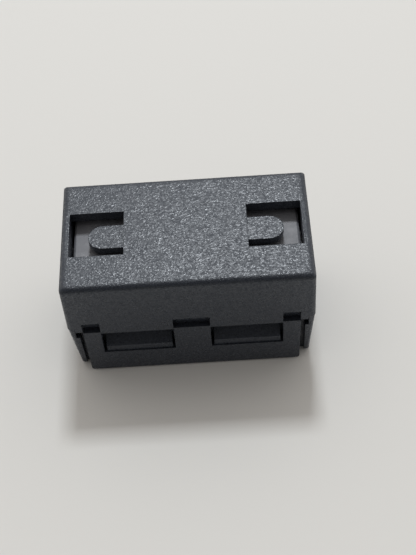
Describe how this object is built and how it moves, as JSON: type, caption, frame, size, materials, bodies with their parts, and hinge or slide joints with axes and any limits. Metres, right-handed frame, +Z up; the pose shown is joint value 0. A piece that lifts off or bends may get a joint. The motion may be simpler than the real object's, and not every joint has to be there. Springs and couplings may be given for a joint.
{
  "type": "clip on ferrite bead",
  "caption": "Split ferrite core in a hinged, latching plastic case that clips round a cable to damp high-frequency noise.",
  "frame": {"origin": "middle of the footprint, on the surface that the bead stands on", "axes": "+X along the cable, -Y towards the latch side, +Y towards the hinge side, +Z up through the two windowed faces"},
  "size_m": [0.035, 0.0196, 0.0195],
  "materials": {
    "case_plastic": "satin",
    "ferrite": "matte"
  },
  "bodies": {
    "base": {"lower_shell": "case_plastic", "lower_ferrite": "ferrite"},
    "lid": {"upper_shell": "case_plastic", "upper_ferrite": "ferrite"}
  },
  "joints": [
    {"name": "lid_hinge", "type": "hinge", "parent": "base", "child": "lid", "pos_m": [0, 0.00845, 0.00825], "axis": [-1, 0, 0], "range_deg": [0, 120]}
  ]
}
